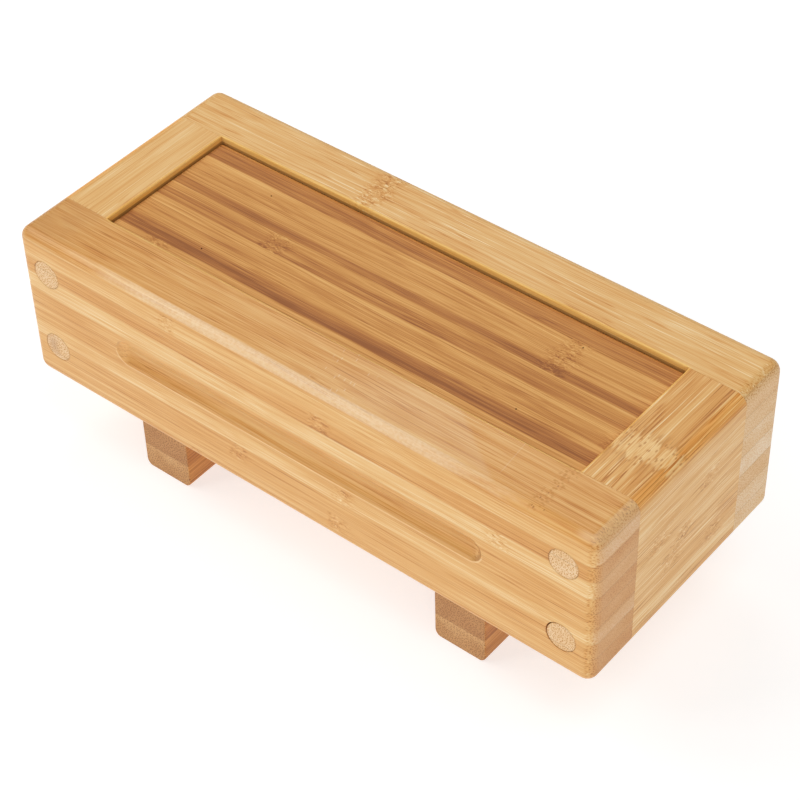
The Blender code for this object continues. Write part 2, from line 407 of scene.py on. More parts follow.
def rail(name, side, material):
    """A rail is its rounded outline in X and Z, carried along Y from its inner to its outer face.

    On the way out the outline first opens by EASED * (1 - sin a) where it borders the opening,
    and at last closes by ROUTED * (1 - cos a) all round, which makes the routed edges.
    """
    shell = Shell()

    def station(y, inset=0.0, ease=0.0):
        u, v = outline(-HALF_LENGTH + inset, HALF_LENGTH - inset, FRAME_LOW + inset,
                       FRAME_HIGH - inset, [END_CORNER - inset] * 4, RAIL_CUTS)
        fade = np.clip((OPENING_X - np.abs(u)) / EASE_FADE, 0, 1)
        v = v + np.sign(FRAME_MIDDLE - v) * ease * fade * fade * (3 - 2 * fade)
        return shell.loop(np.stack([u, np.full_like(u, side * y), v], axis=1))

    stations = [station(OPENING_Y, FLAT_BAND, EASED)]
    stations += [station(OPENING_Y + EASED * (1 - c), 0.0, EASED * (1 - s))
                 for s, c in quarter(4)]
    stations.append(station(OPENING_Y + EASED + FLAT_BAND))
    routed_from = HALF_DEPTH - ROUTED
    stations.append(station(routed_from - FLAT_BAND))
    stations += [station(routed_from + ROUTED * s, ROUTED * (1 - c)) for s, c in quarter(8)]
    shell.belt(stations)

    # The holes go right through; the one low on the right was bored a little loose.
    outer = []
    inner = []
    thickness = HALF_DEPTH - OPENING_Y
    for hand in (-1, 1):
        for level in (-1, 1):
            loose = side < 0 and hand > 0 and level < 0
            radius = DOWEL_RADIUS + (LOOSE_HOLE_PLAY if loose else HOLE_PLAY)
            profile = [(radius + 3 * HOLE_RIM, 0.0), (radius + HOLE_RIM, 0.0),
                       (radius, HOLE_RIM), (radius, thickness - HOLE_RIM),
                       (radius + HOLE_RIM, thickness), (radius + 3 * HOLE_RIM, thickness)]

            def place(radius, depth):
                u, v = ring(radius)
                y = np.full_like(u, side * (HALF_DEPTH - depth))
                return np.stack([u + hand * DOWEL_X, y, v + FRAME_MIDDLE + level * DOWEL_SPREAD],
                                axis=1)

            bored = well(shell, profile, place)
            outer.append(bored[0])
            inner.append(bored[-1])

    # The groove is the arc of a round-nosed cutter, R = (r^2 + d^2) / 2d for its half width r
    # and its depth d, below a lip that turns through the same slope with a much smaller radius.
    nose = (GROOVE_RADIUS ** 2 + GROOVE_DEPTH ** 2) / (2 * GROOVE_DEPTH)
    slope = math.asin(GROOVE_RADIUS / nose)
    mouth = GROOVE_RADIUS + GROOVE_LIP * math.tan(slope / 2)
    profile = [(mouth + FLAT_BAND, 0.0)]
    profile += [(mouth - GROOVE_LIP * math.sin(turn), GROOVE_LIP * (1 - math.cos(turn)))
                for turn in np.linspace(0, slope, 4)]
    profile += [(nose * math.sin(turn), GROOVE_DEPTH - nose * (1 - math.cos(turn)))
                for turn in np.linspace(slope * 0.97, 0.05, 12)]

    def place_groove(radius, depth):
        u, v = ring(radius, GROOVE_HALF)
        y = np.full_like(u, side * (HALF_DEPTH - depth))
        return np.stack([u, y, v + FRAME_MIDDLE], axis=1)

    groove = well(shell, profile, place_groove)
    shell.fill(groove[-1], [], [0, 2])
    shell.fill(stations[0], inner, [0, 2])
    shell.fill(stations[-1], [*outer, groove[0]], [0, 2])
    return piece_of(shell, name + "_wood", material, "frame", "rail_bamboo", name)


MIDDLE_MM = FRAME_MIDDLE * MILLIMETRES
HIGH_MM = FRAME_HIGH * MILLIMETRES
FACE_MM = HALF_DEPTH * MILLIMETRES
GROOVE_MM = GROOVE_RADIUS * MILLIMETRES
PRESS_TOP_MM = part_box("press_board")[1].z * MILLIMETRES
GLUE_STAIN = (0.30, 0.14, 0.05)
# Painted shade, a painted highlight and painted light in the groove.
GROOVE_SHADE = (0.42, 0.20, 0.05)
GROOVE_LINES = (0.60, 0.29, 0.065)
GROOVE_RIM_HIGHLIGHT = (1.0, 0.76, 0.42)
GROOVE_END_LIT = (1.0, 0.60, 0.24)
# Painted bounce light for the walls in the opening, and painted shade for the gap line.
RAIL_WALL_BOUNCE = (1.00, 0.64, 0.15)
GAP_SHADE = (0.34, 0.105, 0.024)


def from_dowel(x, z):
    """Distance in millimetres from the axis of the nearest dowel."""
    off_x = x.work("ABSOLUTE") - DOWEL_X * MILLIMETRES
    off_z = (z - MIDDLE_MM).work("ABSOLUTE") - DOWEL_SPREAD * MILLIMETRES
    return (off_x * off_x + off_z * off_z).work("SQRT")


def gap_shade_line(z):
    """A narrow band of height, at the top of the press board, where a painted shade line goes."""
    above = z.between(PRESS_TOP_MM + 0.50, PRESS_TOP_MM + 0.20)
    return above * z.between(PRESS_TOP_MM - 1.6, PRESS_TOP_MM - 0.8)


def rail_stain_and_painted_light(tree, wood, x, z, y, facing):
    """Glue round the dowels, and painted shade and painted light in the groove and the opening.
    """
    hole = from_dowel(x, z).between(4.80, 4.40)
    wood = mixed(tree, hole * 0.16, wood, GLUE_STAIN)

    # Places in the groove: off is the distance from its middle line, past how far beyond its end.
    past = (x.work("ABSOLUTE") - GROOVE_HALF * MILLIMETRES).work("MAXIMUM", 0.0)
    level = z - MIDDLE_MM
    off = (past * past + level * level).work("SQRT")
    outer = y.work("ABSOLUTE")
    cut_in = outer.between(FACE_MM - 2.6, FACE_MM - 1.8)
    within = off.between(GROOVE_MM + 0.06, GROOVE_MM - 0.08)
    # Painted shade in the recess: the floor a little, the walls more, the right end most.
    wall = off.between(2.3, 3.7) * within * cut_in
    shaded_right_end = past.between(0.3, 2.2) * wall * x.between(0.0, 10.0)
    floor = within * outer.between(FACE_MM - 0.1, FACE_MM - 0.3) * cut_in
    wood = mixed(tree, floor * 0.07 + wall * 0.15 + shaded_right_end * 0.45, wood, GROOVE_SHADE)
    lines = noise(point(tree, x / 70.0, z * 1.5, y), tree, 2.0).between(0.0, 0.16)
    lines = lines * off.between(3.8, 3.2) * outer.between(FACE_MM - 0.1, FACE_MM - 0.4)
    wood = mixed(tree, lines * 0.30, wood, GROOVE_LINES)

    # Painted shade along the rim above, a painted highlight below, painted light at the left end.
    rim = outer.between(FACE_MM - 1.1, FACE_MM - 0.6)
    crease = off.between(3.40, 3.80) * off.between(4.16, 4.04) * level.between(0.0, 1.6)
    rim_highlight = off.between(4.02, 4.12) * off.between(4.60, 4.30) * level.between(0.0, -1.6)
    wood = mixed(tree, crease * rim * 0.45, wood, GROOVE_SHADE)
    wood = mixed(tree, rim_highlight * rim * 0.45, wood, GROOVE_RIM_HIGHLIGHT)
    lit_left_end = past.between(0.0, 2.0) * off.between(4.2, 3.9) * x.between(0.0, -10.0)
    wood = mixed(tree, lit_left_end * cut_in * 0.40, wood, GROOVE_END_LIT)

    # Painted bounce light makes the opening's wall golden; a painted shade line marks the gap.
    inside = outer.between(OPENING_Y * MILLIMETRES + 0.8, OPENING_Y * MILLIMETRES + 0.2)
    inside = inside * x.work("ABSOLUTE").between(79.0, 77.0)
    wood = mixed(tree, inside * 0.5, wood, RAIL_WALL_BOUNCE)
    return mixed(tree, inside * gap_shade_line(z) * 0.62, wood, GAP_SHADE)


# A painted reflection on the front rail's top, which its real scrapes and scratch share.
SHEEN_AND_SCRATCH_WHITE = (0.93, 0.79, 0.59)
# A painted highlight along the front rail's top edge.
EDGE_HIGHLIGHT = (1.0, 0.82, 0.56)
HANDLED = (0.50, 0.25, 0.095)
JOINT_BROWN = (0.60, 0.25, 0.045)
JOINT_DARK = (0.40, 0.13, 0.025)
SCRAPE_X = 12.0
SCRATCH_X = 59.5
JOINT_X = 76.0


def front_wear_and_painted_light(tree, wood, x, z, y, facing):
    """Front rail: browned at its left corner, painted reflection on top, painted highlight on its
    edge.
    """
    wood = rail_stain_and_painted_light(tree, wood, x, z, y, facing)
    upward = Number(tree, facing.outputs["Z"])
    forward = Number(tree, facing.outputs["Y"]) * -1.0
    below_top = z - HIGH_MM

    # Its top has a painted reflection, milky to the right, with real scrapes and a scratch in it.
    top = upward.between(0.85, 0.99)
    along = x + noise(point(tree, x / 14.0, y / 5.0, 3.0), tree) * 16.0 - y * 0.45
    sheen_patch = along.between(12.0, 42.0) * (x + y * 1.4).between(11.5, 8.5)
    patchy = noise(point(tree, x / 9.0, y / 3.0, 8.0), tree, 3.0) * 0.8 + 0.8
    scratch = (x + y * 0.10 - SCRATCH_X).work("ABSOLUTE").between(0.20, 0.05)
    scratch = scratch * y.between(-36.0, -33.0)
    scrape = cells(point(tree, x * 0.55 + y * 0.12, y / 7.0), tree, flat=True).between(0.12, 0.02)
    scrape = scrape * (x - SCRAPE_X).work("ABSOLUTE").between(9.0, 4.0)
    share = top * (sheen_patch * patchy * 0.12 + scratch * 0.14 + scrape * 0.32)
    wood = mixed(tree, share, wood, SHEEN_AND_SCRATCH_WHITE)

    # A painted highlight runs along its routed top edge, most in the middle, and at its right
    # end.
    edge = upward.between(0.15, 0.45) * forward.between(0.06, 0.30)
    edge = edge * below_top.between(-5.0, -3.0)
    reach = x.work("ABSOLUTE") + noise(point(tree, x / 9.0, y / 2.0, z / 2.0), tree, 3.0) * 40.0
    edge_highlight = edge * reach.between(82.0, 40.0)
    grainy = noise(point(tree, x * 1.1, y * 1.6, z * 1.6), tree, 2.0) * 1.2 + 1.0
    right_end_sheen = upward.between(0.40, 0.80) * upward.between(0.999, 0.97) * x.between(87.0, 91.0)
    wood = mixed(tree, edge_highlight * grainy * 0.46 + right_end_sheen * 0.22, wood, EDGE_HIGHLIGHT)

    # Hands have browned its top at the left corner.
    cloudy = noise(point(tree, x / 6.0, y / 6.0, z / 6.0), tree, 2.0) * 1.6 + 1.0
    handled = x.between(-72.0, -88.0) * below_top.between(-4.0, -1.5) * cloudy
    wood = mixed(tree, handled * 0.26, wood, HANDLED)

    # The joint of the cane in the top strip is a narrow band of brown specks.
    jag = noise(point(tree, x / 9.0, y * 0.6, 2.0), tree, 3.0) * 5.0
    band = (x - JOINT_X + jag).work("ABSOLUTE").between(2.6, 1.2) * upward.between(0.5, 0.9)
    marks = cells(point(tree, x, y * 1.2, 5.0), tree).between(0.54, 0.28)
    clots = cells(point(tree, x * 0.8, y * 0.5, 9.0), tree).between(0.22, 0.12)
    wood = mixed(tree, band * marks * 0.70, wood, JOINT_BROWN)
    return mixed(tree, band * clots * 0.70, wood, JOINT_DARK)


LOW_MM = FRAME_LOW * MILLIMETRES


def above_frame(tones):
    """Move places measured from the frame's lower face to places measured from the ground."""
    return [(place + LOW_MM, tone) for place, tone in tones]


front_bamboo = bamboo(
    "front_rail_bamboo", "X", "Z", LOW_MM - 1.9, 5.5,
    above_frame([(0.0, 0.52), (3.4, 0.54), (3.8, 0.44), (9.2, 0.50), (9.6, 0.50), (14.3, 0.54),
                 (14.8, 0.24), (18.0, 0.32), (20.0, 0.50), (25.8, 0.54), (30.6, 0.50),
                 (31.1, 0.24), (36.4, 0.28), (36.9, 0.60), (41.6, 0.60), (42.6, 0.36),
                 (47.2, 0.42), (47.9, 0.54), (50.5, 0.58)]),
    [-35, 15, -19, 17.5, 190, 190, 66, 10.6, -41, 190], lines=0.20, knot=0.75, speckle=0.32,
    spread=4.5, end_tint=(0.87, 0.81, 0.88),
    end_tones=above_frame([(0.0, 0.56), (8.9, 0.50), (9.3, 0.40), (14.2, 0.46), (14.6, 0.20),
                           (19.0, 0.26), (19.5, 0.46), (25.0, 0.44), (30.8, 0.56), (31.2, 0.34),
                           (36.0, 0.30), (36.6, 0.42), (42.4, 0.52), (42.9, 0.18), (47.0, 0.20),
                           (50.5, 0.34)]),
    gloss=0.36, seed=3.0, wear_and_light=front_wear_and_painted_light)
back_bamboo = bamboo(
    "back_rail_bamboo", "X", "Z", LOW_MM - 4.6, 6.75,
    above_frame([(0.0, 0.42), (8.6, 0.44), (9.2, 0.34), (15.4, 0.38), (15.9, 0.50), (22.2, 0.44),
                 (22.7, 0.28), (28.9, 0.24), (29.5, 0.46), (35.8, 0.30), (36.3, 0.44),
                 (42.5, 0.40), (43.1, 0.46), (46.0, 0.38), (50.5, 0.36)]),
    [40, -52, 22, -70, 58, -8, 31, -27.5, -27.5], lines=0.36, knot=1.2,
    end_tones=above_frame([(0.0, 0.28), (9.0, 0.26), (9.3, 0.24), (15.2, 0.22), (15.7, 0.40),
                           (22.3, 0.36), (22.7, 0.14), (26.0, 0.14), (29.0, 0.22), (29.4, 0.32),
                           (35.8, 0.24), (36.2, 0.32), (42.7, 0.36), (43.1, 0.40), (50.5, 0.38)]),
    end_tint=(0.97, 1.07, 1.47), seed=11.0, wear_and_light=rail_stain_and_painted_light)
rail("front_rail", -1, front_bamboo)
rail("back_rail", 1, back_bamboo)


# ----------------------------------------------------------------------------------- end boards
# The end boards stand between the rails. They are cut from the same glued-up bamboo, with the
# fibres running from rail to rail, and are held by the dowels. Their outer edges are routed
# with the rails', and the edges on the opening are only eased.

JOINT_GAP = 0.00004
HOLE_IN_END = DOWEL_LENGTH - (HALF_DEPTH - OPENING_Y) + 0.0004


def end_board(name, hand, material):
    """An end board is its outline in X and Z, carried along Y from one rail to the other.

    The two corners on the opening grow from sharp, at the rails, to EASED.
    """
    shell = Shell()
    reach = OPENING_Y - JOINT_GAP
    cuts = [0.02, 0.5, 0.98]
    near = min(hand * OPENING_X, hand * HALF_LENGTH)
    far = max(hand * OPENING_X, hand * HALF_LENGTH)

    def station(y, inset=0.0):
        fade = np.clip((reach - abs(y)) / EASE_FADE, 0, 1)
        eased = 0.0001 + (EASED - 0.0001) * fade * fade * (3 - 2 * fade)
        rounds = [eased, eased, END_CORNER - inset, END_CORNER - inset]
        if hand > 0:
            rounds = rounds[::-1]
        rounds = [max(r, 0.0001) for r in rounds]
        u, v = outline(near + inset, far - inset, FRAME_LOW + inset, FRAME_HIGH - inset,
                       rounds, cuts)
        return shell.loop(np.stack([u, np.full_like(u, y), v], axis=1))

    steps = reach - np.array([0.0, 0.25, 0.5, 0.75, 1.0, 1.3]) * EASE_FADE
    runs = np.concatenate([-steps, [-0.007, 0.007], steps[::-1]])
    stations = [station(y) for y in runs]
    stations = [station(-reach, FLAT_BAND), *stations, station(reach, FLAT_BAND)]
    shell.belt(stations)
    for side, rim in ((-1, stations[0]), (1, stations[-1])):
        mouths = []
        for level in (-1, 1):
            def place(radius, depth):
                u, v = ring(radius)
                y = np.full_like(u, side * (reach - depth))
                return np.stack([u + hand * DOWEL_X, y, v + FRAME_MIDDLE + level * DOWEL_SPREAD],
                                axis=1)

            radius = DOWEL_RADIUS + LOOSE_HOLE_PLAY
            bored = well(shell, [(radius, 0.0), (radius, HOLE_IN_END)], place)
            shell.fill(bored[-1], [], [0, 2])
            mouths.append(bored[0])
        shell.fill(rim, mouths, [0, 2])
    return piece_of(shell, name + "_wood", material, "frame", "end_board_bamboo", name)


# A golden tint, painted light on the end boards' routed edges.
ROUTED_EDGE_LIGHT_TINT = (1.12, 0.98, 0.74)
# Painted bounce light on the end boards' walls in the opening.
END_WALL_BOUNCE = (1.00, 0.54, 0.090)
HAIRS_BROWN = (0.54, 0.23, 0.050)
HAIRS_PALE = (1.0, 0.72, 0.34)
KNOTS_BROWN = (0.52, 0.21, 0.042)
HAIRS_Y = -7.5


def end_painted_light(tree, wood, y, z, x, facing):
    """Painted light on the routed top edge, and painted bounce light and a painted shade line
    inside.
    """
    edge = OPENING_X * MILLIMETRES
    inside = x.work("ABSOLUTE").between(edge + 0.8, edge + 0.2)
    upward = Number(tree, facing.outputs["Z"])
    routed_edge_light = x.work("ABSOLUTE").between(91.5, 93.0) * upward.between(0.20, 0.50)
    golden = mixed(tree, 1.0, wood, ROUTED_EDGE_LIGHT_TINT, "MULTIPLY")
    wood = mixed(tree, routed_edge_light * 0.9, wood, golden)
    wood = mixed(tree, inside * 0.6, wood, END_WALL_BOUNCE)
    return mixed(tree, inside * gap_shade_line(z) * 0.62, wood, GAP_SHADE)


def right_joint_and_painted_light(tree, wood, y, z, x, facing):
    """The joint of the cane crosses the right board's top: pale hairs between brown ones."""
    wood = end_painted_light(tree, wood, y, z, x, facing)
    jag = noise(point(tree, x * 1.1, y / 7.0, z), tree, 2.0) * 9.0
    off = (y - HAIRS_Y + jag).work("ABSOLUTE")
    hairs = noise(point(tree, x * 2.4, y / 9.0, z * 2.4), tree, 2.0)
    upper = z.between(HIGH_MM - 2.4, HIGH_MM - 1.6)
    pale = off.between(4.6, 2.6) * hairs.between(-0.10, 0.06) * upper
    brown = off.between(10.0, 4.0) * off.between(2.4, 4.4) * hairs.between(-0.02, 0.10) * upper
    knots = cells(point(tree, x * 1.1, y * 0.45, z), tree).between(0.34, 0.20) * upper
    wood = mixed(tree, brown * 0.65, wood, HAIRS_BROWN)
    wood = mixed(tree, pale * 0.60, wood, HAIRS_PALE)
    return mixed(tree, knots * off.between(6.5, 4.5) * 0.70, wood, KNOTS_BROWN)


left_bamboo = bamboo(
    "left_end_bamboo", "Y", "Z", LOW_MM - 1.0, 5.9,
    above_frame([(0.0, 0.40), (6.0, 0.30), (12.0, 0.48), (18.0, 0.36), (30.0, 0.44),
                 (44.0, 0.34), (50.5, 0.34)]),
    [9, -31, 34, -14, 18, -40, 5, -22, 60], fibre=0.65, knot=0.5, seed=23.0,
    wear_and_light=end_painted_light)
right_bamboo = bamboo(
    "right_end_bamboo", "Y", "Z", LOW_MM - 1.5, 5.6,
    above_frame([(0.0, 0.46), (4.0, 0.50), (6.0, 0.28), (9.6, 0.30), (10.4, 0.44), (21.0, 0.42),
                 (22.0, 0.34), (31.5, 0.38), (32.5, 0.46), (37.0, 0.32), (44.0, 0.36),
                 (46.0, 0.48), (50.5, 0.52)]),
    [30, -38, 12, -6.7, -2, -13, 8.3, 33, 190, 190], fibre=1.2, streak=0.65, lines=0.50,
    knot=0.7, seed=31.0, wear_and_light=right_joint_and_painted_light)
end_board("left_end_board", -1, left_bamboo)
end_board("right_end_board", 1, right_bamboo)


# --------------------------------------------------------------------------------------- dowels
# Eight round bamboo dowels are glued in through the rails, two at each corner, then cut off and
# sanded flush, so each shows a pale disc of end grain full of small dark dots.

DOWEL_RIM = 0.00012
DOWEL_CHAMFER = 0.0006
LOOSE_SHIFT = 0.00017
DOWEL_STAIN = (0.52, 0.30, 0.18)
DOWEL_GLUE = (0.40, 0.20, 0.08)


def dowel(name, side, hand, level, material):
    """A dowel is a circle carried along Y, with its rim broken outside and chamfered inside."""
    shell = Shell()
    loose = side < 0 and hand > 0 and level < 0
    middle = hand * DOWEL_X + (LOOSE_SHIFT if loose else 0.0)
    profile = [(DOWEL_RADIUS - 3 * DOWEL_RIM, 0.0), (DOWEL_RADIUS - DOWEL_RIM, 0.0),
               (DOWEL_RADIUS, DOWEL_RIM), (DOWEL_RADIUS, DOWEL_LENGTH - DOWEL_CHAMFER),
               (DOWEL_RADIUS - DOWEL_CHAMFER, DOWEL_LENGTH)]

    def place(radius, depth):
        u, v = ring(radius)
        y = np.full_like(u, side * (HALF_DEPTH - depth))
        return np.stack([u + middle, y, v + FRAME_MIDDLE + level * DOWEL_SPREAD], axis=1)

    loops = well(shell, profile, place)
    shell.fill(loops[0], [], [0, 2])
    shell.fill(loops[-1], [], [0, 2])
    return piece_of(shell, name + "_wood", material, "frame", "dowel_bamboo", name)


def dowel_wear(tree, wood, y, z, x, facing):
    """A dowel is browned at its rim by the glue, and the one low on the left by a stain."""
    off = from_dowel(x, z)
    stained = off.between(5.0, 1.0) * x.between(-84.0, -88.0)
    stained = stained * z.between(MIDDLE_MM, MIDDLE_MM - 6.0)
    wood = mixed(tree, stained * 0.60, wood, DOWEL_STAIN)
    return mixed(tree, off.between(3.95, 4.25) * 0.14, wood, DOWEL_GLUE)


dowel_bamboo = bamboo(
    "dowel_bamboo", "Y", "Z", 0.0, 30.0, [(20.0, 0.26), (45.0, 0.20), (71.0, 0.24)],
    [190, 190, 190], speckle=0.66, end_tint=(0.98, 1.04, 1.33), gloss=0.58, seed=41.0,
    wear_and_light=dowel_wear)
for face, side in (("front", -1), ("back", 1)):
    for word, hand in (("left", -1), ("right", 1)):
        for height, level in (("low", -1), ("high", 1)):
            dowel("dowel_" + face + "_" + word + "_" + height, side, hand, level, dowel_bamboo)


# --------------------------------------------------------------------- base board and press board
# Two like boards of steamed bamboo, which is browner: one is the floor of the box, and the other
# lies on the rice. Their strips stand on edge, so the top shows a stripe for each. Both slide in
# the opening with some play, so their corners and edges are a little rounded.

BOARD_CORNER = 0.0007
BOARD_EASED = 0.0003
pin_low, pin_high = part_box("press_pin_right_back")
PIN_RADIUS = (pin_high.x - pin_low.x) / 2
PIN_PLAY = 0.00004
PIN_MOUTH = 0.00023
STEAMED = [(0.0, (0.87, 0.50, 0.165)), (0.3, (0.74, 0.365, 0.098)), (0.55, (0.59, 0.250, 0.056)),
           (0.8, (0.46, 0.168, 0.036)), (1.0, (0.32, 0.105, 0.022))]


def pin_places(body, *hands):
    """Where the pins of a board stand, as x and y, in the battens on the hands named."""
    boxes = [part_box(body + "_pin_" + hand + "_" + face) for hand in hands
             for face in ("front", "back")]
    return [((low.x + high.x) / 2, (low.y + high.y) / 2) for low, high in boxes]


def pin_hole(shell, x, y, top, bottom, mouth=None):
    """Bore a hole for a pin, and return its upper and lower rims.

    The wood closes in over a sunk pin, so the hole can narrow to a mouth at its top.
    """
    radius = PIN_RADIUS + PIN_PLAY
    profile = [(radius, top), (radius, bottom)]
    if mouth:
        profile = [(mouth, top), (mouth * 1.15, top - 0.00012), (radius, top - 0.00030),
                   (radius, bottom)]
    rims = []
    for wide, z in profile:
        u, v = ring(wide, count=16)
        rims.append(shell.loop(np.stack([u + x, v + y, np.full_like(u, z)], axis=1)))
    shell.belt(rims)
    return rims[0], rims[-1]


SAWN_BROWN = (0.20, 0.080, 0.024)


def board_wear(tree, wood, x, y, z, facing):
    """The sawn sides of a loose board are darker than its planed faces."""
    upright = Number(tree, facing.outputs["Z"]).work("ABSOLUTE").between(0.5, 0.1)
    return mixed(tree, upright * 0.35, wood, SAWN_BROWN)


def loose_board(name, material, body):
    """A loose board is its rounded outline in X and Y, carried up along Z, its faces eased."""
    shell = Shell()
    low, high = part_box(name)
    cuts = [0.002, 0.1, 0.25, 0.5, 0.75, 0.9, 0.998]

    def station(z, inset):
        u, v = outline(low.x + inset, high.x - inset, low.y + inset, high.y - inset,
                       [BOARD_CORNER - inset] * 4, cuts)
        return shell.loop(np.stack([u, v, np.full_like(u, z)], axis=1))

    stations = [station(low.z, BOARD_EASED + FLAT_BAND)]
    stations += [station(low.z + BOARD_EASED * (1 - c), BOARD_EASED * (1 - s))
                 for s, c in quarter(4)]
    stations += [station(low.z + BOARD_EASED + FLAT_BAND, 0.0),
                 station(high.z - BOARD_EASED - FLAT_BAND, 0.0)]
    stations += [station(high.z - BOARD_EASED * (1 - s), BOARD_EASED * (1 - c))
                 for s, c in quarter(4)]
    stations.append(station(high.z, BOARD_EASED + FLAT_BAND))
    shell.belt(stations)
    bored = [pin_hole(shell, x, y, high.z, low.z, PIN_MOUTH)
             for x, y in pin_places(body, "left", "right")]
    shell.fill(stations[0], [rims[1] for rims in bored], [0, 1])
    shell.fill(stations[-1], [rims[0] for rims in bored], [0, 1])
    return piece_of(shell, name + "_wood", material, body, "board_bamboo", name)


press_bamboo = bamboo(
    "press_board_bamboo", "X", "Y", -25.8, 6.95,
    [(-22.2, 0.36), (-19.2, 0.34), (-18.7, 0.86), (-15.5, 0.84), (-13.8, 0.52), (-12.0, 0.30),
     (-11.4, 0.46), (-8.0, 0.40), (-4.9, 0.26), (-4.4, 0.64), (-1.5, 0.58), (0.4, 0.38),
     (1.8, 0.30), (2.3, 0.74), (4.6, 0.72), (5.6, 0.40), (8.6, 0.28), (9.3, 0.42), (12.5, 0.34),
     (15.6, 0.24), (16.2, 0.74), (19.0, 0.66), (22.2, 0.60)],
    [-62, -95, 79, -36, 50, 50, 140], palette=STEAMED, streak=0.55, cloud=0.35, knot=0.8,
    gloss=0.52, seed=53.0, wear_and_light=board_wear)
base_bamboo = bamboo(
    "base_board_bamboo", "X", "Y", -24.4, 6.95,
    [(-22.2, 0.60), (-17.6, 0.40), (-17.0, 0.70), (-10.8, 0.45), (-10.2, 0.30), (-3.8, 0.52),
     (-3.2, 0.78), (3.0, 0.48), (3.6, 0.34), (10.0, 0.56), (10.6, 0.72), (17.0, 0.38),
     (22.2, 0.58)],
    [20, -70, 95, -12, 63, -44, 110], palette=STEAMED, streak=0.55, cloud=0.35, knot=0.8,
    gloss=0.52, seed=67.0, wear_and_light=board_wear)
loose_board("base_board", base_bamboo, "base")
loose_board("press_board", press_bamboo, "press")


# ---------------------------------------------------------------------------- feet and handles
# Two battens of steamed bamboo cross under each loose board. Under the base they are its feet,
# and reach out below the rails; under the press board they are its handles once it is turned
# over. Their fibres run from front to back, and their lower long edges are well rounded.

BATTEN_ROUND = 0.0022
BATTEN_EASED = 0.0004
BATTEN_CORNER = 0.0005
PIN_IN_BATTEN = 0.0105


def batten(name, body, material):
    """A batten is an upright-sided outline in X and Y, carried up along Z.

    Its width is drawn in near the bottom by R - sqrt(R^2 - (R - z)^2), the long rounded edges,
    and its length by the same curve with a much smaller R, as are both at the top.
    """
    shell = Shell()
    low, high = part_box(name)
    tall = high.z - low.z

    def drawn_in(z, radius):
        short = max(radius - z, 0.0)
        return radius - math.sqrt(radius * radius - short * short)

    def station(z, extra=0.0):
        top = drawn_in(tall - z, BATTEN_EASED)
        wide = max(drawn_in(z, BATTEN_ROUND), top) + extra
        deep = max(drawn_in(z, BATTEN_EASED), top) + extra
        u, v = outline(low.x + wide, high.x - wide, low.y + deep, high.y - deep,
                       [BATTEN_CORNER - extra / 4] * 4, [0.02, 0.5, 0.98])
        return shell.loop(np.stack([u, v, np.full_like(u, low.z + z)], axis=1))

    small = [BATTEN_EASED * (1 - c) for s, c in quarter(4)]
    large = [BATTEN_ROUND * (1 - c) for s, c in quarter(8)]
    up = sorted({round(z, 7) for z in [*small, *large]})
    up += [BATTEN_ROUND + FLAT_BAND, tall - BATTEN_EASED - FLAT_BAND]
    up += [tall - z for z in small[::-1]]
    stations = [station(0.0, FLAT_BAND), *[station(z) for z in up], station(tall, FLAT_BAND)]
    shell.belt(stations)
    rims = []
    for x, y in pin_places(body, name.split("_")[0]):
        rim, end = pin_hole(shell, x, y, high.z, high.z - PIN_IN_BATTEN)
        shell.fill(end, [], [0, 1])
        rims.append(rim)
    shell.fill(stations[0], [], [0, 1])
    shell.fill(stations[-1], rims, [0, 1])
    return piece_of(shell, name + "_wood", material, body, "batten_bamboo", name)


batten_bamboo = bamboo(
    "batten_bamboo", "Y", "Z", -12.0, 10.25,
    [(-1.0, 0.58), (4.0, 0.56), (8.1, 0.40), (8.7, 0.68), (18.0, 0.62), (34.0, 0.64),
     (42.5, 0.46), (43.2, 0.70), (55.0, 0.60)],
    [190, 12, -23, 190, 8, -17, 190], palette=STEAMED, end_tint=(1.00, 1.23, 2.04),
    speckle=0.46, gloss=0.50, seed=71.0)
for name, body in (("left_foot", "base"), ("right_foot", "base"),
                   ("left_handle_batten", "press"), ("right_handle_batten", "press")):
    batten(name, body, batten_bamboo)


# ----------------------------------------------------------------------------------------- pins
# Headless steel pins hold each board on its battens. They are shot in just below the surface,
# and show as four small dark points.

PIN_CROWN = 0.00008


def steel():
    """Bare wire, browned by handling: a dull metal with fine drawing marks round it."""
    material = bpy.data.materials.new("pin_steel")
    material.use_nodes = True
    tree = material.node_tree
    shader = tree.nodes["Principled BSDF"]
    places = tree.nodes.new("ShaderNodeTexCoord")
    split = tree.nodes.new("ShaderNodeSeparateXYZ")
    tree.links.new(places.outputs["Object"], split.inputs[0])
    x, y, z = (Number(tree, split.outputs[axis]) * MILLIMETRES for axis in "XYZ")
    stain = noise(point(tree, x * 3.0, y * 3.0, z * 0.8), tree, 3.0) + 0.5
    colour = stain.ramp([(0.3, (0.10, 0.070, 0.050)), (0.7, (0.22, 0.17, 0.13))])
    tree.links.new(colour.socket, shader.inputs["Base Color"])
    tree.links.new((stain * 0.3 + 0.35).socket, shader.inputs["Roughness"])
    shader.inputs["Metallic"].default_value = 0.85
    return material


